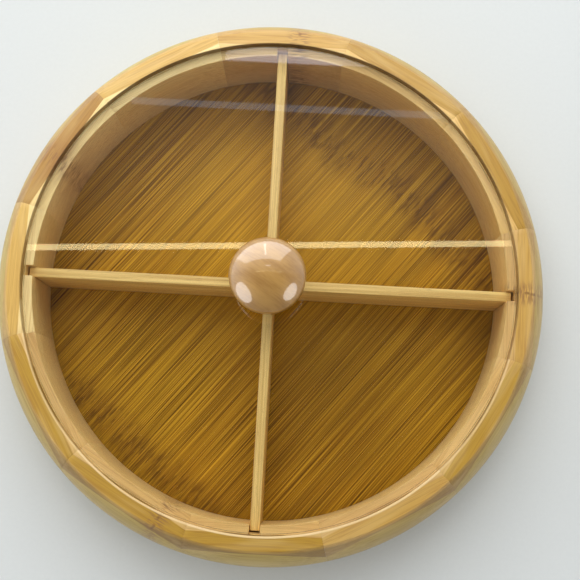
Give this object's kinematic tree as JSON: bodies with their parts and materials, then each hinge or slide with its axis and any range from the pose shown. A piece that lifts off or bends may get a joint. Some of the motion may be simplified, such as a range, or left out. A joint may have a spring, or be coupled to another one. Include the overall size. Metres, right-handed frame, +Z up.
{
  "type": "divided dried fruit tray",
  "caption": "Round bamboo serving tray with a bulging staved wall, lift-out crossed dividers and a clear drop-in lid with a turned wooden knob.",
  "frame": {"origin": "centre of the foot ring, on the surface that the tray stands on", "axes": "+Z up, out of the tray; the dividers lie along X and Y, the upper one along Y"},
  "size_m": [0.28, 0.28, 0.0805],
  "materials": {
    "ring_bamboo": "satin lacquered laminated bamboo, pale",
    "floor_bamboo": "satin lacquered carbonised bamboo in fine strips",
    "divider_bamboo": "sanded pale bamboo",
    "clear_lid": "clear polished acrylic",
    "knob_wood": "gloss lacquered pinkish hardwood",
    "zinc_steel": "zinc plated"
  },
  "bodies": {
    "tray": {"stave_01": "ring_bamboo", "stave_02": "ring_bamboo", "stave_03": "ring_bamboo", "stave_04": "ring_bamboo", "stave_05": "ring_bamboo", "stave_06": "ring_bamboo", "stave_07": "ring_bamboo", "stave_08": "ring_bamboo", "stave_09": "ring_bamboo", "stave_10": "ring_bamboo", "stave_11": "ring_bamboo", "stave_12": "ring_bamboo", "floor_panel": "floor_bamboo"},
    "lower_divider": {"divider_lower": "divider_bamboo"},
    "upper_divider": {"divider_upper": "divider_bamboo"},
    "lid": {"lid_disc": "clear_lid", "lid_knob": "knob_wood", "knob_washer": "zinc_steel", "knob_screw": "zinc_steel"}
  },
  "joints": [
    {"name": "lower_divider_lift", "type": "slide", "parent": "tray", "child": "lower_divider", "axis": [0, 0, 1], "range_m": [0, 0.06]},
    {"name": "upper_divider_lift", "type": "slide", "parent": "lower_divider", "child": "upper_divider", "axis": [0, 0, 1], "range_m": [0, 0.06]},
    {"name": "lid_lift", "type": "slide", "parent": "upper_divider", "child": "lid", "axis": [0, 0, 1], "range_m": [0, 0.1]}
  ]
}
